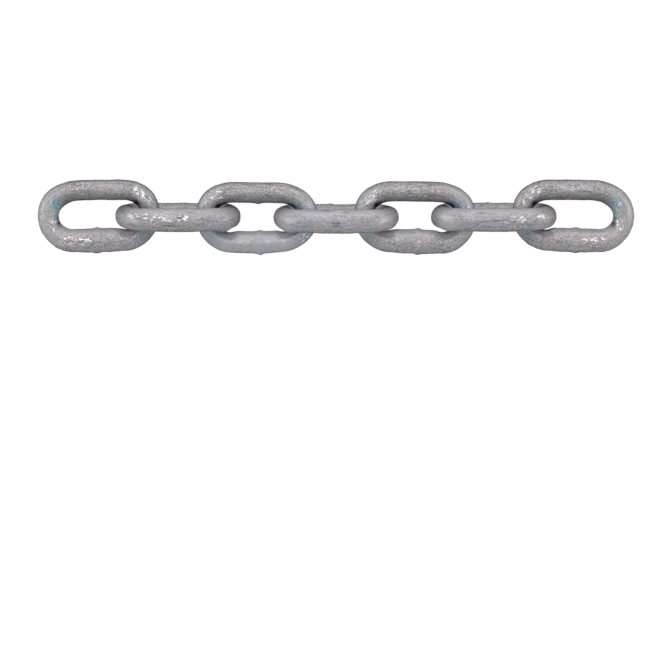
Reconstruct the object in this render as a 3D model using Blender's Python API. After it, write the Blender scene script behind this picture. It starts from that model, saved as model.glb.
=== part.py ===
"""A straight length of hot-dip galvanised anchor chain: seven oval links, each one bent and butt-welded bar.

The chain lies along X on the floor z = 0, centred on x = 0. Neighbouring links stand at right angles to each
other, so the run rests in an X section: the odd links lean back and lie on their welded legs, and the even
links lean forward and lie on their plain legs.
"""

import math

import bmesh
import bpy
from mathutils import Matrix, Vector

MM = 0.001

# The chain
LINK_COUNT = 7
INSIDE_LENGTH = 32.3 * MM
INSIDE_WIDTH = 11.7 * MM
CROWN_GAP = 0.65 * MM
LEAN = math.radians(45)

# The thickness of the bar, which changes a little round the link
PLAIN_LEG = 8.1 * MM
CROWN = 8.3 * MM
WELD_LEG_END = 8.7 * MM
WELD_LEG = 9.0 * MM

# The crown keeps one thickness over this angle each side of the chain's axis, and blends to the legs outside it
CROWN_HALF_ANGLE = math.radians(35)

# How finely a link is faceted
SECTION_SIDES = 16
BEND_STEPS = 13
PLAIN_LEG_STEPS = 3
MERGE_DISTANCE = 0.01 * MM

# The butt weld in the middle of one leg: the bar is upset, with a low ridge of flash on its inner and outer sides
UPSET_HALF_LENGTH = 5.0 * MM
FLASH_INNER = 0.6 * MM
FLASH_OUTER = 0.3 * MM
FLASH_HALF_WIDTH = 1.2 * MM
FLASH_HALF_ANGLE = 1.5 * 2 * math.pi / SECTION_SIDES

# The inner outline of a link is a slot: two half circles of BEND_RADIUS with straight sides between them
BEND_RADIUS = INSIDE_WIDTH / 2
STRAIGHT_HALF = INSIDE_LENGTH / 2 - BEND_RADIUS
SPACING = INSIDE_LENGTH - CROWN_GAP

# A polygon with the area of its circle has corners this much further out, and sides this much further in
CORNER_SCALE = math.sqrt(2 * math.pi / SECTION_SIDES / math.sin(2 * math.pi / SECTION_SIDES))
SIDE_SCALE = CORNER_SCALE * math.cos(math.pi / SECTION_SIDES)


def clear_scene():
    """Start from an empty scene."""
    for thing in list(bpy.data.objects):
        bpy.data.objects.remove(thing, do_unlink=True)


def zinc_material(name, shade):
    """Hot-dip zinc: a dull metal with a faint violet cast."""
    material = bpy.data.materials.new(name)
    material.use_nodes = True
    surface = material.node_tree.nodes["Principled BSDF"]
    surface.inputs["Base Color"].default_value = (shade, 0.98 * shade, 1.02 * shade, 1.0)
    surface.inputs["Metallic"].default_value = 0.9
    surface.inputs["Roughness"].default_value = 0.45
    material.diffuse_color = (shade, 0.98 * shade, 1.02 * shade, 1.0)
    return material


def ease(amount):
    """A smooth change from 0 to 1."""
    amount = min(max(amount, 0.0), 1.0)
    return amount * amount * (3 - 2 * amount)


def bar_diameter(x, side, turn):
    """Thickness of the bar at a place on the link.

    x is the place along the link, side is +1 on the plain leg's half and -1 on the welded leg's, and turn is
    the angle away from the chain's axis on a bend, a right angle on a leg.
    """
    leg_end = PLAIN_LEG if side > 0 else WELD_LEG_END
    blend = ease((turn - CROWN_HALF_ANGLE) / (math.pi / 2 - CROWN_HALF_ANGLE))
    diameter = CROWN + (leg_end - CROWN) * blend
    if side < 0 and abs(x) < STRAIGHT_HALF:
        rise = ease((STRAIGHT_HALF - abs(x)) / (STRAIGHT_HALF - UPSET_HALF_LENGTH))
        diameter = WELD_LEG_END + (WELD_LEG - WELD_LEG_END) * rise
    return diameter


def flash_height(x, side, around):
    """How far the weld's flash stands out; around is the angle on the section, 0 on the link's outer side."""
    if side > 0 or abs(x) >= FLASH_HALF_WIDTH:
        return 0.0
    height, off_plane = FLASH_OUTER, abs(around)
    if off_plane > math.pi / 2:
        height, off_plane = FLASH_INNER, math.pi - off_plane
    fade = math.cos(min(off_plane / FLASH_HALF_ANGLE, 1.0) * math.pi / 2)
    return height * fade * (1 - abs(x) / FLASH_HALF_WIDTH)


def shape_bar(corner):
    """Move one corner of a uniform swept bar to the real bar's surface, keeping the inner outline.

    The link lies in its own X-Y plane, and the uniform bar's diameter is CROWN.
    """
    skeleton_x = min(max(corner.x, -STRAIGHT_HALF), STRAIGHT_HALF)
    from_skeleton = Vector((corner.x - skeleton_x, corner.y))
    outward = from_skeleton.normalized()
    around = math.atan2(corner.z, from_skeleton.length - BEND_RADIUS - CROWN / 2)

    side = 1 if corner.y > 0 else -1
    turn = math.atan2(abs(outward.y), abs(outward.x))
    radius = bar_diameter(corner.x, side, turn) / 2
    reach = radius * CORNER_SCALE + flash_height(corner.x, side, around)
    in_plane = BEND_RADIUS + radius + reach * math.cos(around)
    return Vector((skeleton_x + in_plane * outward.x, in_plane * outward.y, reach * math.sin(around)))


def extruded_leg(bm, loop, distances):
    """Extrude a loop of edges along X, one step for each distance, and return the last loop."""
    for distance in distances:
        grown = bmesh.ops.extrude_edge_only(bm, edges=loop)["geom"]
        corners = [part for part in grown if isinstance(part, bmesh.types.BMVert)]
        bmesh.ops.translate(bm, verts=corners, vec=(distance, 0, 0))
        loop = [part for part in grown if isinstance(part, bmesh.types.BMEdge)]
        loop = [edge for edge in loop if all(corner in corners for corner in edge.verts)]
    return loop


def spun_bend(bm, loop, centre_x):
    """Spin a loop of edges half a turn about one end of the skeleton, and return the last loop."""
    grown = bmesh.ops.spin(
        bm, geom=loop, cent=(centre_x, 0, 0), axis=(0, 0, -1), angle=math.pi, steps=BEND_STEPS
    )["geom_last"]
    return [part for part in grown if isinstance(part, bmesh.types.BMEdge)]


def link_mesh():
    """One link in its own plane, its long axis on X, its plain leg at +Y and its welded leg at -Y."""
    bm = bmesh.new()
    half_side = math.pi / SECTION_SIDES
    across = BEND_RADIUS + CROWN / 2
    upright = Matrix.Rotation(math.pi / 2, 4, "Y") @ Matrix.Rotation(half_side, 4, "Z")
    start = Matrix.Translation((STRAIGHT_HALF, across, 0)) @ upright
    bmesh.ops.create_circle(
        bm, cap_ends=False, segments=SECTION_SIDES, radius=CROWN / 2, matrix=start
    )
    first_loop = bm.edges[:]

    # Round the first bend, along the welded leg with its upset and flash, round the second bend
    loop = spun_bend(bm, first_loop, STRAIGHT_HALF)
    blend = (UPSET_HALF_LENGTH - STRAIGHT_HALF) / 2
    flat = FLASH_HALF_WIDTH - UPSET_HALF_LENGTH
    welded_half = [blend, blend, flat, -FLASH_HALF_WIDTH]
    loop = extruded_leg(bm, loop, welded_half + welded_half[::-1])
    loop = spun_bend(bm, loop, -STRAIGHT_HALF)

    # The plain leg closes the ring
    loop = extruded_leg(bm, loop, [2 * STRAIGHT_HALF / PLAIN_LEG_STEPS] * (PLAIN_LEG_STEPS - 1))
    bmesh.ops.bridge_loops(bm, edges=loop + first_loop)

    bmesh.ops.remove_doubles(bm, verts=bm.verts, dist=MERGE_DISTANCE)
    for corner in bm.verts:
        corner.co = shape_bar(corner.co)
    bmesh.ops.recalc_face_normals(bm, faces=bm.faces)

    mesh = bpy.data.meshes.new("chain_link")
    bm.to_mesh(mesh)
    bm.free()
    mesh.shade_smooth()
    return mesh


def resting_height(leg):
    """Height of a leaning link's axis when its lower leg, of this thickness, lies on the floor."""
    return (BEND_RADIUS + leg / 2) * math.sin(LEAN) + SIDE_SCALE * leg / 2


def add_link(number, mesh):
    """Place one link, leaning back if its number is odd and forward if it is even.

    The welded legs are at the front and the plain ones, which are thinner, at the back. At a lean of 45 degrees
    a leg reaches as far sideways as down, so half the difference brings the chain to the middle.
    """
    leans_back = number % 2 == 1
    link = bpy.data.objects.new(f"link_{number}", mesh.copy())
    link.data.materials.append(zinc_material(f"zinc_{number}", 0.56 if leans_back else 0.52))
    link.location = (
        (number - (LINK_COUNT + 1) / 2) * SPACING,
        (resting_height(WELD_LEG) - resting_height(PLAIN_LEG)) / 2,
        resting_height(WELD_LEG if leans_back else PLAIN_LEG),
    )
    link.rotation_euler = (LEAN if leans_back else -LEAN, 0, 0)
    bpy.context.scene.collection.objects.link(link)


def main():
    clear_scene()
    mesh = link_mesh()
    for number in range(1, LINK_COUNT + 1):
        add_link(number, mesh)
    bpy.data.meshes.remove(mesh)


main()
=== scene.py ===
"""The looks of a length of hot-dip galvanised anchor chain: seven oval links, seen from above the front."""

import math

import bmesh
import bpy
import numpy as np
from mathutils import Matrix, Vector, noise


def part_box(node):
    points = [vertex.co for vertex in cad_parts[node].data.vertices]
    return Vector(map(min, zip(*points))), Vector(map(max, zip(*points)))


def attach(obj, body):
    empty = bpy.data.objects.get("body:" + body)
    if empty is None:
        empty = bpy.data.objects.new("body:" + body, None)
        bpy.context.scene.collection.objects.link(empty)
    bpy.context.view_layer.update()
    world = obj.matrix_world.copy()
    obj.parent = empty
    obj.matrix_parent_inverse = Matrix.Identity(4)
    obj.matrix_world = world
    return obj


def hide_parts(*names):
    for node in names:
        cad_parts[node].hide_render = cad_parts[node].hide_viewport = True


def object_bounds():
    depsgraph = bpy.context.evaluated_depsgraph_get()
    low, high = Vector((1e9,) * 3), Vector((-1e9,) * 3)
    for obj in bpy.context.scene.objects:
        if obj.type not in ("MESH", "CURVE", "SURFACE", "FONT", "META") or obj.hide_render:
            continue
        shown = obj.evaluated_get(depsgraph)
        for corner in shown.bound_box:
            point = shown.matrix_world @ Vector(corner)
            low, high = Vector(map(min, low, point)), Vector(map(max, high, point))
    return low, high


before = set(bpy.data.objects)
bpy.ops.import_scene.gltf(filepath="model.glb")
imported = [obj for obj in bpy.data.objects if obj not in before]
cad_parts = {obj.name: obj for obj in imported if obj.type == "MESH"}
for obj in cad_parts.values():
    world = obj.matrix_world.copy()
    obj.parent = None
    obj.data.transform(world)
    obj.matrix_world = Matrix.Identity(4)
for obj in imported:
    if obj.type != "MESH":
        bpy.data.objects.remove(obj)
cad_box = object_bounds()

MM = 0.001

# A link's inner outline is a slot, with half circles at its ends. All sizes of a link are in millimetres.
INSIDE_LENGTH = 32.3
INSIDE_WIDTH = 11.7
BEND_RADIUS = INSIDE_WIDTH / 2
STRAIGHT_HALF = INSIDE_LENGTH / 2 - BEND_RADIUS
LEAN = math.radians(45)

# Thickness of the bar in the plain CAD link, which sets the height at which each link lies
CAD_PLAIN_LEG = 8.1
CAD_WELD_LEG = 9.0

# The bar thickens to its leg's thickness beyond this angle from the link's long axis, and to its thickness at the
# weld up to this far from the leg's middle
CROWN_HALF_ANGLE = math.radians(35)
UPSET_HALF_LENGTH = 4.0

# The mesh of a link, about 0.2 mm between corners
SECTION_SIDES = 128
SECTION_RADIUS = 4.15
BEND_STEPS = 144
LEG_STEPS = 94

# Where along the link its sides are set in or out from the plain slot, and how far each place reaches
STATIONS = np.array([-24, -16, -8, 0, 8, 16, 24])
STATION_REACH = 5.5

# What sets each link apart from the others, in millimetres:
#   back: how far it lies behind the row's middle line
#   plain, crown, weld_end, weld: thickness of the bar
#   plain_side, weld_side: how far each side stands to the plain leg's side of the slot, at the stations
#   weld_at: where the weld's ridge of flash is along the leg
#   flash: its height outside and inside
#   ridge: a small ridge on the plain leg: where, its height inside and on top, and the step in the leg there
#   warmth: from 0, bluish zinc, to 1, pinkish zinc, at the left end and the right, and the plain leg's over the
#     welded one's
#   pale: painted light, how much paler the zinc is painted on the left bend, the right bend and the welded leg
#   grain: how grainy the plain leg and the welded leg are
STRAIGHT = (0, 0, 0, 0, 0, 0, 0)
LINKS = {
    1: dict(back=0.45, plain=8.15, crown=8.3, weld_end=9.28, weld=9.68, weld_at=-1.0, flash=(0.38, 0.4),
            ridge=(0, 0, 0, 0), warmth=(0.62, 0.62, 0.0), pale=(0.55, 0.1, 0.0), grain=(0.9, 1.0),
            plain_side=(-0.75, -1.4, -0.47, -0.38, -0.39, -0.45, 0.25),
            weld_side=(-1.36, -0.71, -0.36, -0.08, 0.04, 0.09, -0.46)),
    2: dict(back=0.2, plain=8.1, crown=8.9, weld_end=9.2, weld=9.5, weld_at=1.2, flash=(0.25, 0.3),
            ridge=(1.2, 0, 0.12, 0), warmth=(0.75, 0.5, 0.0), pale=(0.6, 0.3, 0.0), grain=(0.9, 0.9),
            plain_side=STRAIGHT, weld_side=STRAIGHT),
    3: dict(back=-0.56, plain=8.27, crown=8.3, weld_end=8.78, weld=8.98, weld_at=1.0, flash=(0.65, 0.35),
            ridge=(0.5, 0.45, 0, 0), warmth=(0.3, 0.35, 0.5), pale=(0.4, 0.4, 0.45), grain=(0.85, 0.4),
            plain_side=(0.64, -0.46, -0.42, -0.58, -0.5, -1.26, -1.16),
            weld_side=(-0.46, -0.06, -0.18, -0.32, 0.0, 0.66, 0.44)),
    4: dict(back=-0.5, plain=8.1, crown=8.9, weld_end=9.35, weld=9.75, weld_at=-0.4, flash=(0.25, 0.3),
            ridge=(-2.0, 0, 0.25, 0.26), warmth=(0.1, 0.65, 0.0), pale=(0.8, 0.55, 0.0), grain=(0.6, 0.5),
            plain_side=STRAIGHT, weld_side=STRAIGHT),
    5: dict(back=-0.25, plain=8.12, crown=8.3, weld_end=9.33, weld=9.73, weld_at=1.1, flash=(0.5, 0.45),
            ridge=(0, 0, 0, 0), warmth=(0.55, 0.6, 0.0), pale=(0.4, 0.4, 0.0), grain=(0.8, 0.9),
            plain_side=(0.24, -0.76, -0.41, -0.5, -0.61, -1.36, -0.86),
            weld_side=(-0.76, 0.36, -0.02, 0.02, -0.39, -0.76, -1.56)),
    6: dict(back=0.25, plain=8.1, crown=8.9, weld_end=9.2, weld=9.5, weld_at=-1.2, flash=(0.25, 0.3),
            ridge=(-2.0, 0, 0.22, 0), warmth=(0.15, 0.75, 0.0), pale=(0.9, 0.45, 0.0), grain=(0.7, 0.7),
            plain_side=STRAIGHT, weld_side=STRAIGHT),
    7: dict(back=0.45, plain=8.15, crown=8.3, weld_end=9.28, weld=9.68, weld_at=1.0, flash=(0.38, 0.4),
            ridge=(0, 0, 0, 0), warmth=(0.65, 0.75, 0.0), pale=(0.2, 0.5, 0.0), grain=(0.9, 0.95),
            plain_side=(0.25, -0.47, -0.4, -0.41, -0.5, -1.45, -1.15),
            weld_side=(-0.66, 0.19, 0.09, -0.08, -0.38, -0.76, -1.36)),
}

# Places where the zinc ran together and set thicker, the fuller lower side of three edge-on bends, and two places
# that the next link has worn hollow: link, x, y and z in its own frame, reach, and height
ZINC_LUMPS = [
    (1, 7.8, -5.85, 0.0, 2.0, -0.25), (7, -12.3, -5.0, 0.0, 3.0, -0.4),
    (1, -13.0, 4.9, 0.0, 3.5, 0.5), (7, 13.0, 4.9, 0.0, 3.5, 0.5), (2, -23.7, 0.0, 3.2, 3.0, 0.35),
    (2, 23.7, 0.0, -3.2, 2.6, 0.3), (4, 23.8, 0.0, 2.5, 3.0, 0.2), (6, -23.7, 0.0, -3.2, 3.0, 0.45),
    (6, 23.7, 0.0, 3.0, 2.6, 0.15), (2, 18.3, -6.5, -4.5, 3.0, 0.9), (4, -18.3, -6.5, -4.5, 3.0, 0.75),
    (6, -18.3, -6.5, -4.5, 3.0, 0.65),
]

# Patches of smoother zinc with painted glints, near-white flecks in its colour, on the side that faces up: link, x
# and y in its own plane, reach, and strength
SHINY_PATCHES = [
    (1, 15.3, 10.2, 2.0, 1.0), (1, 17.6, 8.6, 2.0, 1.0), (1, 19.6, 5.8, 1.9, 0.9), (1, -18.0, 6.0, 1.6, 0.6),
    (1, -17.3, 3.0, 1.4, 0.5), (1, -18.2, -2.2, 1.3, 1.1), (1, -18.2, -4.6, 1.5, 1.1), (1, -13.5, -9.7, 1.7, 1.4),
    (1, -11.0, -10.0, 1.8, 1.5), (1, -8.5, -10.3, 1.7, 1.5), (1, -6.0, -10.3, 1.5, 1.4), (1, -3.8, -10.3, 1.1, 1.2),
    (1, -0.8, -10.6, 1.6, 0.35), (1, 8.0, -9.0, 3.0, 0.28),
    (3, -14.8, 9.7, 2.0, 1.0), (3, -17.3, 8.4, 2.2, 1.0), (3, -19.3, 5.8, 1.8, 0.9), (3, 20.0, 4.5, 1.8, 0.8),
    (3, 19.0, -9.0, 2.5, 0.8), (3, -6.5, -10.0, 1.5, 0.4), (3, 4.5, -10.0, 1.5, 0.35), (3, 11.0, -9.6, 1.5, 0.4),
    (5, -15.8, 9.4, 1.9, 1.0), (5, -17.6, 7.7, 2.0, 1.0), (5, -19.4, 5.4, 1.7, 0.9), (5, 20.0, 4.5, 1.8, 0.8),
    (5, -8.0, -9.8, 3.4, 0.33), (5, 1.0, -10.8, 1.7, 0.5), (7, -8.0, -9.0, 3.0, 0.3), (7, 0.8, -10.8, 1.8, 0.45),
    (7, -15.5, 10.0, 2.0, 1.0), (7, -17.8, 8.3, 2.1, 1.0), (7, -19.6, 5.8, 1.8, 0.9), (7, 18.6, -4.0, 1.6, 1.1),
    (7, 18.0, 6.0, 1.6, 0.6), (7, 17.3, 3.0, 1.4, 0.5), (7, 18.4, -2.0, 1.3, 1.1), (7, 4.5, -10.4, 1.3, 0.9),
    (7, 7.0, -10.4, 1.6, 1.2), (7, 9.5, -10.5, 1.7, 1.3), (7, 12.0, -10.3, 1.7, 1.2),
]

# The same on an edge-on link's welded leg: link, where along it, angle round the bar, and reach
SHINY_SIDES = [
    (2, -20.5, 0.6, 1.9), (2, -17.8, 0.55, 2.0), (2, -15.0, 0.5, 2.1), (2, -12.0, 0.4, 2.0), (2, -9.0, 0.3, 2.0),
    (2, -6.0, 0.3, 1.9), (2, -2.8, 0.22, 1.8), (2, 0.6, 0.3, 1.9), (2, 3.6, 0.25, 1.4),
    (6, 5.0, 0.15, 1.6), (6, 7.8, 0.12, 2.0), (6, 10.6, 0.15, 1.6), (6, 14.6, 0.45, 1.3), (6, 17.0, 0.5, 1.2),
    (6, 19.4, 0.5, 1.1),
]

# Bluish green stains, strongest on the inner side of the bends: link, x and y in its own plane, reach, and strength
STAINS = [
    (1, -16.3, 5.0, 3.0, 1.0), (1, -16.8, 0.0, 1.8, 0.7), (1, 18.5, -8.5, 3.4, 0.3),
    (3, 16.0, 5.6, 2.6, 0.8), (3, 19.0, -9.5, 3.0, 0.3), (3, -17.0, -8.5, 3.0, 0.2),
    (5, 16.0, 5.6, 2.8, 0.8), (5, -18.0, -8.5, 3.0, 0.3),
    (7, 16.3, 5.0, 3.0, 1.0), (7, 16.8, 0.0, 1.8, 0.7), (7, -18.5, -8.5, 3.4, 0.35),
]

# Darker patches, and painted shadow, nearly black, in the notches beside a bend where they are strongest: link, x and
# y in its own plane, reach, and strength
DARK_PATCHES_AND_NOTCH_SHADOWS = [
    (1, 19.0, -8.5, 3.8, 0.3), (7, -19.0, -8.5, 3.8, 0.28), (5, -18.5, -9.0, 3.4, 0.2), (3, 18.5, -8.5, 3.0, 0.15),
    (3, -18.5, -8.5, 3.0, 0.15), (1, -16.2, -1.0, 1.2, 0.5), (1, -15.9, -3.4, 1.2, 0.65),
    (7, 16.2, -1.0, 1.2, 0.5), (7, 15.9, -3.4, 1.3, 0.7), (1, -16.1, -2.8, 1.0, 0.95), (7, 16.1, -2.8, 1.0, 0.95),
    (1, 14.9, 4.7, 1.3, 1.7), (3, -15.2, 4.4, 1.2, 1.7),
    (3, 13.6, 4.7, 1.1, 1.7), (5, -15.0, 4.6, 1.3, 1.7), (5, 14.0, 4.8, 1.2, 1.7), (7, -15.4, 4.5, 1.3, 1.7),
]

# Short dark marks on the outer side of the welded leg: link, where along it, angle round the bar, and half length
DARK_MARKS = [
    (4, -3.6, 1.15, 2.4), (4, 0.6, -0.02, 1.7), (4, 0.2, -0.22, 1.2), (4, 4.0, 0.95, 1.4),
    (6, 0.4, 0.08, 2.4), (6, -5.5, 0.75, 1.6), (2, -3.0, -0.35, 2.2), (2, 5.5, 0.8, 1.8), (2, 1.5, 0.3, 1.3),
]

# The ridge that the weld's flash leaves: how far it wanders along the bar and over what length, how high it is on
# the faces, and its reach
FLASH_WANDER = 0.8
FLASH_WANDER_SIZE = 3.0
FLASH_ON_FACES = 0.05
FLASH_REACH = 1.1

# The small ridge on some plain legs: its reach, and how sharp and how long the step in the leg is there
RIDGE_REACH = 1.2
STEP_SHARPNESS = 0.4
STEP_REACH = 6.0

# The zinc's unevenness: height and width of its dents, lumps and peel, the level from which the peel's creases fall,
# and how much coarser the peel is where the zinc shines
DENT_HEIGHT = 0.11
DENT_SIZE = 5.0
LUMP_HEIGHT = 0.07
LUMP_SIZE = 1.9
PEEL_HEIGHT = 0.05
PEEL_SIZE = 0.9
PEEL_MIDDLE = 0.25
SHINY_PEEL = 2

# Beads of zinc on each link: how many, and the least and greatest reach and height
BEAD_COUNT = 46
BEAD_REACH = (0.35, 0.8)
BEAD_RISE = (0.03, 0.1)

# What keeps the random shapes apart from link to link, and from kind to kind
NOISE_STEP = np.array([17.3, -8.1, 5.7])
LUMP_SEED = 20
PEEL_SEED = 40
FLASH_SEED = 60
BEAD_SEED = 100

# Wear on the inner side of the joined bends: its depth, where along the link it begins, over what length it deepens,
# and how far it reaches from the bend's middle, by the sine of the angle, on an edge-on link and on a face-on link's
# welded and plain half
SEAT_WEAR = 0.7
WEAR_START = 7.5
WEAR_RUN_IN = 3.5
EDGE_ON_WEAR_REACH = 1.3
WELDED_WEAR_REACH = 2.2
PLAIN_WEAR_REACH = 0.62

# Parts of the bar's section that wear, or that get painted shade, by the cosine of the angle round it: where each
# begins, and over how much more it is full. The inner side of the plain leg has a slope and a base instead.
WORN_SIDE = (0.1, 0.6)
SEAT_SIDE = (0.62, 0.36)
LOWER_EDGE = (0.86, 0.12)
RIM = (0.88, 0.1)
INNER_SIDE_SLOPE = 0.9
INNER_SIDE_BASE = 0.35

# The plain leg's part of the link, by the sine of the angle round the bend, and how steeply a bend's wear and painted
# shadow rise towards its middle
PLAIN_LEG_PART = (0.5, 0.5)
BEND_SLOPE = 1.4

# How dark the painted shade on those parts of a face-on link is, and from which strength, and over how much more, a
# dark patch turns into nearly black painted shadow
INNER_PAINTED_SHADE = 0.5
LOWER_EDGE_PAINTED_SHADE = 0.3
SEAT_PAINTED_SHADOW = 0.9
RIM_PAINTED_SHADE = 0.35
NEARLY_BLACK = (0.9, 0.5)

# How steeply and how late the painted light makes the zinc paler towards a bend's middle, and round the bar towards
# its shaded side
PALE_BEND_SLOPE = 1.5
PALE_BEND_DELAY = 0.2
PALE_SIDE_SLOPE = 1.6
PALE_SIDE_DELAY = 0.5

# How much more bluish a face-on link's joined bends are, from how far along the link, and over what length
BEND_COOLING = 0.35
COOL_BEND = (12, 8)

# How strongly drawn lines show on an edge-on link, and on a face-on link's welded leg where its plain leg has 1
EDGE_ON_DRAWN = 0.7
WELD_LEG_DRAWN = 0.25

# Patches show from this height over the link's own plane, and fully this much higher
UP_SIDE = (-1, 2)

# Shiny sides show from this far out on the welded half, and fully this much further, over this angle round the bar
WELDED_SIDE = (0, 4)
SHINY_SIDE_ANGLE = 0.3
MARK_HALF_WIDTH = 0.25

# The bar laid out straight for its streaks: how it is scaled along and round, and how far its halves are set apart
UNROLLED_ALONG = 0.5
UNROLLED_ROUND = 1.2
HALVES_APART = 200

# Colours of the zinc, its pale grain and painted light, its painted shade and dark marks, the nearly black painted
# shadow in its notches, its stains, and its glints, painted in as near-white flecks
WARM_ZINC = (0.56, 0.49, 0.50, 1)
COOL_ZINC = (0.48, 0.50, 0.56, 1)
PALE_ZINC_AND_PAINTED_LIGHT = (0.8, 0.78, 0.8, 1)
DARK_ZINC = (0.17, 0.165, 0.175, 1)
PAINTED_SHADE_AND_MARKS = (0.09, 0.088, 0.092, 1)
NOTCH_SHADOW_BLACK = (0.02, 0.02, 0.021, 1)
GREEN_STAIN = (0.15, 0.42, 0.49, 1)
GLINT = (0.97, 0.97, 0.98, 1)
EDGE_TINT = (0.15, 0.15, 0.16, 1)

# Noises in the zinc: scale, detail, and for some the roughness. Drawn lines are stretched along the bar.
CLOUDS = (190, 4.0, 0.7)
SPECKLE = (1700, 2.0, 0.6)
GRAIN = (2600, 1.0)
GRAIN_PATCHES = (120, 1.0)
STREAKS = (1300, 1.0)
DRAWN_LINES = (1150, 2.0)
LINE_STRETCH = (0.35, 1, 1)

# How each noise or strength shows: between which of its values, and from how much to how much if not from 0 to 1
CLOUDY = (0.3, 0.7, -0.5, 0.5)
DARK_LINES = (0.47, 0.3, 0.0, 0.6)
PALE_LINES = (0.53, 0.7, 0.0, 0.6)
GRAINY = (0.35, 0.6, 0.55)
PALE_SPECKS = (0.53, 0.66)
DARK_SPECKS = (0.47, 0.34, 0.0, 0.9)
DARK_GRAIN = (0.47, 0.3, 0.0, 0.8)
DARK_STREAKS = (0.42, 0.3, 0.0, 0.45)
STAIN_STREAKS = (0.58, 0.44, 0.25, 1.0)
CLOSER_FLECKS = (1.0, 1.5, 0.0, 0.05)
FLECKED_STREAKS = (0.54, 0.6)
FLECKED_SHINE = (0.15, 0.6)
GRAIN_ROUGHNESS = (0.3, 0.7, 0.34, 0.5)
FLECK_METAL = (0.0, 1.0, 0.5, 1.0)
PAINTED_LIGHT_SHARE = 0.5
MARK_SHARE = 0.8

# Smoothness of the zinc that shines, and height in metres of the bumps that its speckle and its grain make
SHINE_SMOOTHNESS = 0.14
FLECK_ROUGHNESS = (0.26, 0.26, 0.26, 1)
SPECKLE_BUMP = 0.00016
GRAIN_BUMP = 0.00005

# The photograph in pixels, and how the chain lies in it: pixels to the metre, and the row and column of its middle
PHOTO_SIZE = 670
PHOTO_SCALE = 2494
CHAIN_ROW = 217.1
CHAIN_COLUMN = 336.0

# The camera's angle over the floor, its distance in metres, and its sensor's width in millimetres
CAMERA_ELEVATION = math.radians(53)
CAMERA_DISTANCE = 1.3
SENSOR = 36.0

# The floor: its height and half its width in metres, its colour, and how brightly it glows
FLOOR_HEIGHT = -0.12
FLOOR_HALF_WIDTH = 4.0
FLOOR_COLOUR = (0.04, 0.04, 0.04, 1)
FLOOR_GLOW = 0.985

# Soft lights: name, direction from the chain, width and height in metres, and power
LIGHT_DISTANCE = 2.5
LIGHTS = [
    ("overhead", (0, 0.3, 1.0), (3.0, 2.2), 11), ("glint", (0, -0.42, 0.9), (1.2, 0.8), 4.0),
    ("left", (-1, -0.1, 0.3), (1.8, 1.4), 9), ("right", (1, -0.1, 0.3), (1.8, 1.4), 8),
]

# The room's light: its strength from low down to high up, its fading towards the dark side, and its tints
ROOM_STRENGTH = (-0.3, 0.9, 0.54, 0.6)
ROOM_FADING = (0.4, 0.85, 1.0, 0.0)
ROOM_TINTING = (-0.5, 0.5)
LOW_TINT = (0.9, 0.96, 1.0, 1)
HIGH_TINT = (1.0, 0.98, 0.98, 1)
WHITE = (1, 1, 1, 1)


def ease(amount, start=0.0, span=1.0):
    """A smooth change from 0 at the start to 1 after the span, for a number or an array."""
    amount = np.clip((amount - start) / span, 0.0, 1.0)
    return amount * amount * (3 - 2 * amount)


def hill(distance, reach):
    """A smooth hill, 1 at no distance."""
    return np.exp(-((distance / reach) ** 2))


def face_on(number):
    """Whether the link shows its open side to the camera. The others are seen edge-on."""
    return number % 2 == 1


def edges_in(parts):
    return [part for part in parts if isinstance(part, bmesh.types.BMEdge)]


def sweep_bend(bm, loop, x):
    """Sweeps the bar's section round the bend at x, and gives the section at the bend's end."""
    swept = bmesh.ops.spin(bm, geom=loop, cent=(x, 0, 0), axis=(0, 0, -1), angle=math.pi, steps=BEND_STEPS)
    return edges_in(swept["geom_last"])


def place_on_leg(corner):
    """A leg corner's number, counted along and round the leg, so that the corners have the same order in each run."""
    step = round((corner.co.x + STRAIGHT_HALF) / (2 * STRAIGHT_HALF) * LEG_STEPS)
    angle = math.atan2(corner.co.z, abs(corner.co.y) - BEND_RADIUS - SECTION_RADIUS)
    around = round(angle / math.tau * SECTION_SIDES) % SECTION_SIDES
    return ((corner.co.y > 0) * LEG_STEPS + step) * SECTION_SIDES + around


def swept_bar():
    """A round bar swept once round a link in the X-Y plane, in millimetres, as a mesh."""
    bm = bmesh.new()
    across = BEND_RADIUS + SECTION_RADIUS
    start = Matrix.Translation((STRAIGHT_HALF, across, 0)) @ Matrix.Rotation(math.pi / 2, 4, "Y")
    bmesh.ops.create_circle(bm, segments=SECTION_SIDES, radius=SECTION_RADIUS, matrix=start)
    first_loop = bm.edges[:]

    loop = sweep_bend(bm, first_loop, STRAIGHT_HALF)
    leg = bmesh.ops.extrude_edge_only(bm, edges=loop)["geom"]
    corners = [part for part in leg if isinstance(part, bmesh.types.BMVert)]
    bmesh.ops.translate(bm, verts=corners, vec=(-2 * STRAIGHT_HALF, 0, 0))
    ends = set(corners)
    loop = sweep_bend(bm, [edge for edge in edges_in(leg) if ends.issuperset(edge.verts)], -STRAIGHT_HALF)
    bmesh.ops.bridge_loops(bm, edges=loop + first_loop)

    on_bends = len(bm.verts)
    long_edges = [edge for edge in bm.edges if edge.calc_length() > STRAIGHT_HALF]
    bmesh.ops.subdivide_edges(bm, edges=long_edges, cuts=LEG_STEPS - 1, use_grid_fill=True)
    bm.verts.index_update()
    bm.verts.sort(key=lambda corner: corner.index if corner.index < on_bends else on_bends + place_on_leg(corner))
    bmesh.ops.recalc_face_normals(bm, faces=bm.faces)
    mesh = bpy.data.meshes.new("bar")
    bm.to_mesh(mesh)
    bm.free()
    return mesh


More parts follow.
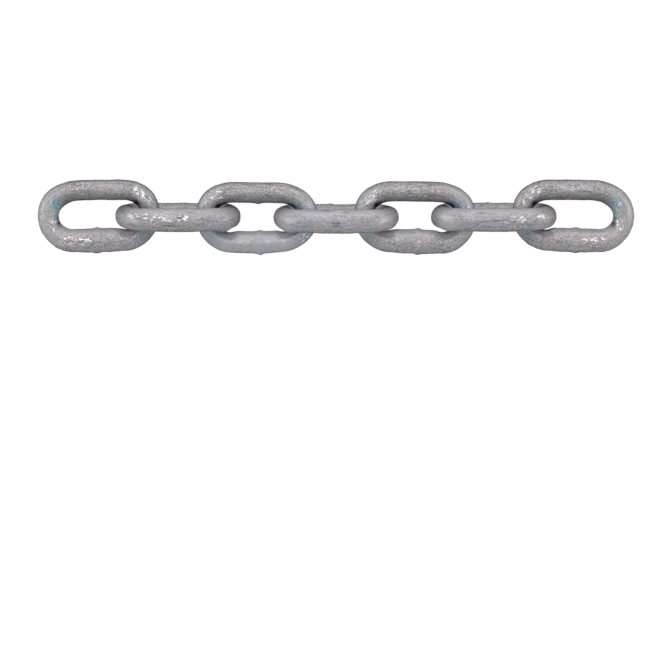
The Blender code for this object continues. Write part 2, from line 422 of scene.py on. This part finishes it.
class Places:
    """Where each corner of the swept bar is along the link, and round the bar's section."""

    def __init__(self, mesh):
        place = np.empty(len(mesh.vertices) * 3)
        mesh.vertices.foreach_get("co", place)
        x, y, z = place.reshape(-1, 3).T
        self.skeleton = np.clip(x, -STRAIGHT_HALF, STRAIGHT_HALF)
        reach = np.hypot(x - self.skeleton, y)
        self.out_x, self.out_y = (x - self.skeleton) / reach, y / reach
        self.around = np.arctan2(z, reach - BEND_RADIUS - SECTION_RADIUS)
        self.welded = self.out_y < 0
        self.plain_share = (1 + self.out_y) / 2

    def bar_radius(self, link):
        turn = np.arctan2(np.abs(self.out_y), np.abs(self.out_x))
        leg_end = np.where(self.welded, link["weld_end"], link["plain"])
        towards_leg = ease(turn, CROWN_HALF_ANGLE, math.pi / 2 - CROWN_HALF_ANGLE)
        thickness = link["crown"] + (leg_end - link["crown"]) * towards_leg
        rise = ease(STRAIGHT_HALF - np.abs(self.skeleton), span=STRAIGHT_HALF - UPSET_HALF_LENGTH)
        return (thickness + np.where(self.welded, link["weld"] - link["weld_end"], 0) * rise) / 2

    def unrolled(self):
        """Each corner's place on the bar as if it were straight, with the welded half set apart."""
        turn = np.arctan2(self.out_x, np.abs(self.out_y))
        along = self.skeleton + (BEND_RADIUS + SECTION_RADIUS) * turn
        section = SECTION_RADIUS * np.stack([np.cos(self.around), np.sin(self.around)], axis=1)
        apart = np.where(self.welded, HALVES_APART, 0)
        return np.column_stack([along * UNROLLED_ALONG + apart, section * UNROLLED_ROUND])

    def on_bar(self, radius):
        """Each corner's place with that bar radius."""
        in_plane = BEND_RADIUS + radius + radius * np.cos(self.around)
        return np.stack(
            [self.skeleton + in_plane * self.out_x, in_plane * self.out_y, radius * np.sin(self.around)], axis=1
        )

    def outward(self):
        """The way out from the bar's middle at each corner."""
        facing = np.cos(self.around)
        return np.stack([facing * self.out_x, facing * self.out_y, np.sin(self.around)], axis=1)


def uneven(places, size, seed):
    """Smooth random height at each corner, about -0.6 to 0.6, with hills of that size."""
    spots = places / size + NOISE_STEP * seed
    return np.array([noise.noise(spot) for spot in spots.tolist()])


def zinc_height(places, number, shine):
    """Height of the zinc's dents, lumps and peel over the smooth bar."""
    dents = DENT_HEIGHT * uneven(places, DENT_SIZE, number)
    lumps = LUMP_HEIGHT * uneven(places, LUMP_SIZE, number + LUMP_SEED)
    peel = PEEL_HEIGHT * (PEEL_MIDDLE - np.abs(uneven(places, PEEL_SIZE, number + PEEL_SEED)))
    return dents + lumps + peel * (1 + SHINY_PEEL * shine)


def flash_height(bar, link, places, number):
    """The ridge that the weld's flash leaves round the bar, high outside and inside and trimmed on the faces."""
    wander = FLASH_WANDER * uneven(places, FLASH_WANDER_SIZE, number + FLASH_SEED)
    along = bar.skeleton - link["weld_at"] - wander
    outside, inside = link["flash"]
    facing = np.cos(bar.around)
    height = np.where(facing > 0, outside * facing**4, inside * facing**4) + FLASH_ON_FACES
    return np.where(bar.welded, height * hill(along, FLASH_REACH), 0)


def ridge_height(bar, link):
    """A small ridge on the inner side and top of the plain leg."""
    where, inside, top, _ = link["ridge"]
    facing = inside * np.clip(-np.cos(bar.around), 0, 1) ** 4 + top * np.clip(np.sin(bar.around), 0, 1) ** 2
    return np.where(bar.welded, 0, facing * hill(bar.skeleton - where, RIDGE_REACH))


def leg_step(bar, link):
    """How far the plain leg's two halves miss each other at its ridge."""
    where, _, _, step = link["ridge"]
    along = bar.skeleton - where
    return np.where(bar.welded, 0, -step / 2 * np.tanh(along / STEP_SHARPNESS) * hill(along, STEP_REACH))


def bead_height(shape, number):
    """Small beads and pimples of zinc, strewn over the link."""
    chance = np.random.default_rng(BEAD_SEED + number)
    height = np.zeros(len(shape))
    for centre in chance.choice(len(shape), BEAD_COUNT, replace=False):
        reach, rise = chance.uniform(*BEAD_REACH), chance.uniform(*BEAD_RISE)
        height += rise * hill(np.linalg.norm(shape - shape[centre], axis=1), reach)
    return height


def joined_ends(towards_right, number):
    """1 at the ends that hold the next link and the last one, from 0 to 1 of the way to each end, and 0 elsewhere."""
    right = ease(towards_right) if number < len(LINKS) else 0
    left = ease(-towards_right) if number > 1 else 0
    return right + left


def seat_wear(bar, number):
    """How deep the inner side of the bends is worn where the next link's bend rubs on it."""
    inner = ease(-np.cos(bar.around), *WORN_SIDE)
    along = bar.skeleton + BEND_RADIUS * bar.out_x
    beyond = np.abs(along) - WEAR_START
    along_leg = np.sign(along) * beyond / WEAR_RUN_IN * (beyond > 0)
    if face_on(number):
        worn = hill(bar.out_y, np.where(bar.welded, WELDED_WEAR_REACH, PLAIN_WEAR_REACH))
        towards_right = np.where(bar.welded, along_leg, bar.out_x * BEND_SLOPE)
    else:
        worn = hill(bar.out_y, EDGE_ON_WEAR_REACH)
        towards_right = along_leg
    return SEAT_WEAR * inner * worn * joined_ends(towards_right, number)


def lump_height(number, shape):
    """Height of the places where the zinc is thicker, and depth of the hollows."""
    height = np.zeros(len(shape))
    for link_number, x, y, z, reach, rise in ZINC_LUMPS:
        if link_number == number:
            height += rise * hill(np.linalg.norm(shape - np.array([x, y, z]), axis=1), reach)
    return height


def patches(number, table, shape):
    """How strongly the patches of that table show at each corner, on the side that faces up."""
    amount = np.zeros(len(shape))
    upward = ease(shape[:, 2], *UP_SIDE)
    for link_number, x, y, reach, strength in table:
        if link_number == number:
            spot = np.linalg.norm(shape[:, :2] - np.array([x, y]), axis=1)
            amount = np.maximum(amount, strength * hill(spot, reach) * upward)
    return amount


def side_patches(number, shape, around):
    """How strongly the shiny patches on the outer side of the welded leg show at each corner."""
    amount = np.zeros(len(shape))
    for link_number, x, angle, reach in SHINY_SIDES:
        if link_number == number:
            amount = np.maximum(amount, hill(shape[:, 0] - x, reach) * hill(around - angle, SHINY_SIDE_ANGLE))
    return amount * ease(-shape[:, 1], *WELDED_SIDE)


def marks(bar, shape, number):
    """How strongly the short dark marks along the outer side of the welded leg show at each corner."""
    amount = np.zeros(len(shape))
    for link_number, x, around, half_length in DARK_MARKS:
        if link_number == number:
            across = (bar.around - around) * SECTION_RADIUS
            amount = np.maximum(amount, hill(shape[:, 0] - x, half_length) * hill(across, MARK_HALF_WIDTH))
    return amount * bar.welded


def plain_leg_shade(bar, number):
    """Painted shade on the inner side of a face-on link's plain leg, darkest along its lower edge."""
    inward = -np.cos(bar.around)
    inner = INNER_PAINTED_SHADE * ease(inward * INNER_SIDE_SLOPE + INNER_SIDE_BASE)
    inner += LOWER_EDGE_PAINTED_SHADE * ease(inward, *LOWER_EDGE)
    return inner * ease(bar.out_y, *PLAIN_LEG_PART) * face_on(number)


def seat_shade(bar, number):
    """Painted shadow on the inner side of a face-on link's bends, where the next link's bend lies."""
    inner = ease(-np.cos(bar.around), *SEAT_SIDE)
    return SEAT_PAINTED_SHADOW * inner * joined_ends(bar.out_x * BEND_SLOPE, number) * face_on(number)


def rim_shade(bar, number):
    """Painted shade, a dark line along the outermost side of a face-on link's bar."""
    return RIM_PAINTED_SHADE * ease(np.cos(bar.around), *RIM) * face_on(number)


def painted_light(bar, number):
    """Painted light, how much paler the zinc is painted: on the bends, the welded leg, and the leg's side that lies
    in the next link's shade.
    """
    left, right, welded_leg = LINKS[number]["pale"]
    to_right = bar.out_x * PALE_BEND_SLOPE
    bends = left * ease(-to_right - PALE_BEND_DELAY) + right * ease(to_right - PALE_BEND_DELAY)
    shaded_side = -np.cos(bar.around) if face_on(number) else np.sin(bar.around)
    shaded = ease(shaded_side * PALE_SIDE_SLOPE - PALE_SIDE_DELAY)
    return np.maximum(bends, np.maximum(shaded, welded_leg) * (1 - bar.plain_share))


def towards_joined_bend(x, number):
    """How far along the link each corner is, from its middle to an end that is joined to another link."""
    if number == 1:
        return x
    return -x if number == len(LINKS) else np.abs(x)


def warmth(bar, shape, number):
    """How pinkish the zinc is at each corner, over the bluish zinc's 0."""
    link = LINKS[number]
    left, right, plain_over_weld = link["warmth"]
    rightness = (shape[:, 0] / (STRAIGHT_HALF + BEND_RADIUS + link["crown"]) + 1) / 2
    from_ends = left + (right - left) * rightness + (bar.plain_share - 0.5) * plain_over_weld
    inner_bend = ease(towards_joined_bend(shape[:, 0], number), *COOL_BEND)
    return from_ends - BEND_COOLING * inner_bend * bar.plain_share * face_on(number)


def drawn_share(bar, number):
    """How strongly the drawn lines show at each corner."""
    if face_on(number):
        return WELD_LEG_DRAWN + (1 - WELD_LEG_DRAWN) * bar.plain_share
    return np.full(len(bar.around), EDGE_ON_DRAWN)


def link_shape(number, bar, smooth, shine):
    """Each corner's place in the link's own frame, with the zinc's height, the wear and the bowed sides."""
    link = LINKS[number]
    height = zinc_height(smooth, number, shine) + flash_height(bar, link, smooth, number)
    height += bead_height(smooth, number) + ridge_height(bar, link) + lump_height(number, smooth)
    height -= seat_wear(bar, number)

    shape = smooth + height[:, None] * bar.outward()
    nearness = hill(shape[:, :1] - STATIONS, STATION_REACH)
    nearness /= nearness.sum(axis=1, keepdims=True)
    shape[:, 1] += bar.plain_share * (nearness @ np.array(link["plain_side"]))
    shape[:, 1] += (1 - bar.plain_share) * (nearness @ np.array(link["weld_side"]))
    shape[:, 2] += leg_step(bar, link)
    return shape


def add_looks(mesh, number, bar, smooth, shine):
    """What the zinc's material has to know at each corner."""
    plain_grain, weld_grain = LINKS[number]["grain"]
    spots = patches(number, DARK_PATCHES_AND_NOTCH_SHADOWS, smooth)
    # Painted shade on the plain leg, the seats and the rim, with the dark patches and the painted shadow in the
    # notches
    shade_and_dark_spots = plain_leg_shade(bar, number) + seat_shade(bar, number) + rim_shade(bar, number) + spots
    looks = {
        "shine": shine,
        "stain": patches(number, STAINS, smooth),
        "warmth": warmth(bar, smooth, number),
        "shade": np.clip(shade_and_dark_spots, 0, 1),
        "deep_shade": ease(spots, *NEARLY_BLACK),
        "mark": marks(bar, smooth, number),
        "grainy": weld_grain + (plain_grain - weld_grain) * bar.plain_share,
        "pale": painted_light(bar, number),
        "drawn": drawn_share(bar, number),
    }
    for name, values in looks.items():
        mesh.attributes.new(name, "FLOAT", "POINT").data.foreach_set("value", values.astype(np.float32))
    along_bar = mesh.attributes.new("along_bar", "FLOAT_VECTOR", "POINT")
    along_bar.data.foreach_set("vector", (bar.unrolled() * MM + number).astype(np.float32).ravel())


def lay_link(mesh, number):
    """Leans the link over and sets it where its plain CAD link lies, its lowest corner at the CAD's floor."""
    low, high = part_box(f"link_{number}")
    slope = math.sin(LEAN)
    lower_leg = CAD_WELD_LEG if face_on(number) else CAD_PLAIN_LEG
    axis = Vector((
        (low.x + high.x) / 2,
        low.y + ((BEND_RADIUS + CAD_WELD_LEG / 2) * slope + CAD_WELD_LEG / 2 + LINKS[number]["back"]) * MM,
        ((BEND_RADIUS + lower_leg / 2) * slope + lower_leg / 2) * MM,
    ))
    mesh.transform(Matrix.Translation(axis) @ Matrix.Rotation(LEAN if face_on(number) else -LEAN, 4, "X"))
    lowest = min(vertex.co.z for vertex in mesh.vertices)
    mesh.transform(Matrix.Translation((0, 0, -lowest)))


def add_link(number, bar_mesh, bar):
    """One link with its zinc's lumps in the mesh, standing for its plain CAD link."""
    mesh = bar_mesh.copy()
    mesh.name = f"zinc_link_{number}"
    smooth = bar.on_bar(bar.bar_radius(LINKS[number]))
    shine = patches(number, SHINY_PATCHES, smooth) + side_patches(number, smooth, bar.around)
    mesh.vertices.foreach_set("co", (link_shape(number, bar, smooth, shine) * MM).ravel())
    mesh.shade_smooth()
    add_looks(mesh, number, bar, smooth, shine)
    lay_link(mesh, number)

    piece = bpy.data.objects.new(f"zinc_link_{number}", mesh)
    bpy.context.scene.collection.objects.link(piece)
    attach(piece, f"link_{number}")
    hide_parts(f"link_{number}")
    return piece


class Graph:
    """A material's node tree, with short ways to add and join its nodes."""

    def __init__(self, tree):
        self.tree = tree

    def add(self, kind, inputs=(), output=0, **settings):
        node = self.tree.nodes.new(kind)
        for name, value in settings.items():
            setattr(node, name, value)
        for socket, value in dict(inputs).items():
            if isinstance(value, bpy.types.NodeSocket):
                self.tree.links.new(value, node.inputs[socket])
            else:
                node.inputs[socket].default_value = value
        return node.outputs[output] if node.outputs else node

    def math(self, operation, first, second=0.0, clamp=False):
        return self.add("ShaderNodeMath", {0: first, 1: second}, operation=operation, use_clamp=clamp)

    def times(self, first, second):
        return self.math("MULTIPLY", first, second)

    def mix(self, amount, first, second):
        """A mix of two colours, which are inputs 6 and 7 of this node, with the result at output 2."""
        return self.add("ShaderNodeMix", {0: amount, 6: first, 7: second}, output=2, data_type="RGBA")

    def noise(self, where, scale, detail, roughness=0.5):
        return self.add(
            "ShaderNodeTexNoise", {"Vector": where, "Scale": scale, "Detail": detail, "Roughness": roughness}
        )

    def rise(self, value, low, high, bottom=0.0, top=1.0):
        """The value's way from low to high, as bottom to top."""
        return self.add(
            "ShaderNodeMapRange",
            {"Value": value, "From Min": low, "From Max": high, "To Min": bottom, "To Max": top},
            interpolation_type="SMOOTHSTEP",
        )

    def attribute(self, name, output="Fac"):
        return self.add("ShaderNodeAttribute", attribute_name=name, output=output)


def zinc_material():
    """Dull hot-dip zinc: grainy, mottled pinkish and bluish, with glinting patches and faint green stains, and with
    painted shade, painted light and painted glints in its colour.
    """
    material = bpy.data.materials.new("hot_dip_zinc")
    material.use_nodes = True
    graph = Graph(material.node_tree)
    where = graph.add("ShaderNodeTexCoord", output="Object")
    along_bar = graph.attribute("along_bar", "Vector")
    stretched = graph.add("ShaderNodeVectorMath", {0: along_bar, 1: LINE_STRETCH}, operation="MULTIPLY")

    clouds, lines = graph.noise(where, *CLOUDS), graph.noise(stretched, *DRAWN_LINES)
    speckle, grain = graph.noise(where, *SPECKLE), graph.noise(where, *GRAIN)
    streaks, grain_patches = graph.noise(along_bar, *STREAKS), graph.noise(where, *GRAIN_PATCHES)
    shine, drawn = graph.attribute("shine"), graph.attribute("drawn")
    grainy = graph.times(graph.attribute("grainy"), graph.rise(grain_patches, *GRAINY))
    # Flecks: smoother, more metallic zinc whose near-white colour paints in glints
    flecked = graph.rise(graph.math("ADD", streaks, graph.rise(shine, *CLOSER_FLECKS)), *FLECKED_STREAKS)
    flecks = graph.times(graph.rise(shine, *FLECKED_SHINE), flecked)

    cloudy = graph.math("ADD", graph.rise(clouds, *CLOUDY), graph.attribute("warmth"), clamp=True)
    colour = graph.mix(cloudy, COOL_ZINC, WARM_ZINC)
    marked = graph.times(graph.attribute("mark"), MARK_SHARE)
    layers = [
        (graph.times(drawn, graph.rise(lines, *DARK_LINES)), DARK_ZINC),
        (graph.times(drawn, graph.rise(lines, *PALE_LINES)), PALE_ZINC_AND_PAINTED_LIGHT),
        (graph.times(grainy, graph.rise(speckle, *PALE_SPECKS)), PALE_ZINC_AND_PAINTED_LIGHT),
        (graph.times(grainy, graph.rise(speckle, *DARK_SPECKS)), DARK_ZINC),
        (graph.times(grainy, graph.rise(grain, *DARK_GRAIN)), DARK_ZINC),
        (graph.rise(streaks, *DARK_STREAKS), DARK_ZINC),
        # Painted light: the zinc painted paler where it would lie in shade
        (graph.times(graph.attribute("pale"), PAINTED_LIGHT_SHARE), PALE_ZINC_AND_PAINTED_LIGHT),
        (graph.times(graph.attribute("stain"), graph.rise(streaks, *STAIN_STREAKS)), GREEN_STAIN),
        # Painted shade, with the real dark marks
        (graph.math("MAXIMUM", graph.attribute("shade"), marked), PAINTED_SHADE_AND_MARKS),
        # Nearly black painted shadow in the notches beside the bends
        (graph.attribute("deep_shade"), NOTCH_SHADOW_BLACK),
        # Painted glints: near-white flecks in the shiny patches
        (flecks, GLINT),
    ]
    for amount, over in layers:
        colour = graph.mix(amount, colour, over)

    dull = graph.rise(grain, *GRAIN_ROUGHNESS)
    smoother = graph.math("SUBTRACT", dull, graph.times(shine, SHINE_SMOOTHNESS))
    coarse = graph.add("ShaderNodeBump", {"Strength": grainy, "Distance": SPECKLE_BUMP, "Height": speckle})
    surface = material.node_tree.nodes["Principled BSDF"]
    for name, value in {
        "Base Color": colour,
        "Roughness": graph.mix(flecks, smoother, FLECK_ROUGHNESS),
        "Metallic": graph.rise(flecks, *FLECK_METAL),
        "Normal": graph.add(
            "ShaderNodeBump", {"Strength": grainy, "Distance": GRAIN_BUMP, "Height": grain, "Normal": coarse}
        ),
    }.items():
        material.node_tree.links.new(value, surface.inputs[name])
    surface.inputs["Specular Tint"].default_value = EDGE_TINT
    return material


def add_floor():
    """A plain pale floor, set low enough to hide no link that swings down."""
    bm = bmesh.new()
    low_down = Matrix.Translation((0, 0, FLOOR_HEIGHT))
    bmesh.ops.create_grid(bm, x_segments=1, y_segments=1, size=FLOOR_HALF_WIDTH, matrix=low_down)
    mesh = bpy.data.meshes.new("floor")
    bm.to_mesh(mesh)
    bm.free()
    floor = bpy.data.objects.new("floor", mesh)
    bpy.context.scene.collection.objects.link(floor)
    material = bpy.data.materials.new("pale_floor")
    material.use_nodes = True
    surface = material.node_tree.nodes["Principled BSDF"]
    surface.inputs["Base Color"].default_value = FLOOR_COLOUR
    surface.inputs["Roughness"].default_value = 1.0
    surface.inputs["Specular IOR Level"].default_value = 0.0
    surface.inputs["Emission Color"].default_value = WHITE
    surface.inputs["Emission Strength"].default_value = FLOOR_GLOW
    mesh.materials.append(material)
    floor.visible_glossy = False
    floor.visible_diffuse = False


def add_light(name, direction, size, power):
    """A soft white light in that direction from the chain, turned to it."""
    light = bpy.data.lights.new(name, "AREA")
    light.shape = "RECTANGLE"
    light.size, light.size_y = size
    light.energy = power
    lamp = bpy.data.objects.new(name, light)
    way = Vector(direction).normalized()
    lamp.location = way * LIGHT_DISTANCE
    lamp.rotation_euler = way.to_track_quat("Z", "Y").to_euler()
    lamp.visible_camera = False
    bpy.context.scene.collection.objects.link(lamp)


def set_world():
    """A pale room, dark on the side that the camera faces, and white where the camera sees past the floor."""
    world = bpy.data.worlds.new("room")
    world.use_nodes = True
    tree = world.node_tree
    tree.nodes.clear()
    graph = Graph(tree)
    direction = graph.add("ShaderNodeTexCoord", output="Generated")
    height = graph.add("ShaderNodeSeparateXYZ", {0: direction}, output="Z")
    dark_side = (0, math.cos(CAMERA_ELEVATION), -math.sin(CAMERA_ELEVATION))
    towards_dark = graph.add(
        "ShaderNodeVectorMath", {0: direction, 1: dark_side}, output="Value", operation="DOT_PRODUCT"
    )
    strength = graph.times(graph.rise(height, *ROOM_STRENGTH), graph.rise(towards_dark, *ROOM_FADING))
    tint = graph.mix(graph.rise(height, *ROOM_TINTING), LOW_TINT, HIGH_TINT)
    room = graph.add("ShaderNodeBackground", {"Color": tint, "Strength": strength})
    pale = graph.add("ShaderNodeBackground", {"Color": WHITE})
    seen = graph.add("ShaderNodeLightPath", output="Is Camera Ray")
    shown = graph.add("ShaderNodeMixShader", {0: seen, 1: room, 2: pale})
    graph.add("ShaderNodeOutputWorld", {"Surface": shown})
    bpy.context.scene.world = world


def add_camera(middle):
    """A distant camera that sees the chain where the photograph has it."""
    data = bpy.data.cameras.new("camera")
    data.sensor_width = SENSOR
    data.lens = SENSOR * CAMERA_DISTANCE * PHOTO_SCALE / PHOTO_SIZE
    above_centre = math.atan((PHOTO_SIZE / 2 - CHAIN_ROW) / (CAMERA_DISTANCE * PHOTO_SCALE))
    sideways = (CHAIN_COLUMN - PHOTO_SIZE / 2) / PHOTO_SCALE
    camera = bpy.data.objects.new("camera", data)
    back = Vector((0, -math.cos(CAMERA_ELEVATION), math.sin(CAMERA_ELEVATION)))
    camera.location = middle + back * CAMERA_DISTANCE - Vector((sideways, 0, 0))
    camera.rotation_euler = (math.pi / 2 - CAMERA_ELEVATION - above_centre, 0, 0)
    bpy.context.scene.collection.objects.link(camera)
    bpy.context.scene.camera = camera


bpy.context.scene.view_settings.view_transform = "Standard"
low, high = cad_box
add_camera((low + high) / 2)
for light in LIGHTS:
    add_light(*light)
set_world()
add_floor()
zinc = zinc_material()
bar_mesh = swept_bar()
bar = Places(bar_mesh)
for number in LINKS:
    add_link(number, bar_mesh, bar).data.materials.append(zinc)
bpy.data.meshes.remove(bar_mesh)
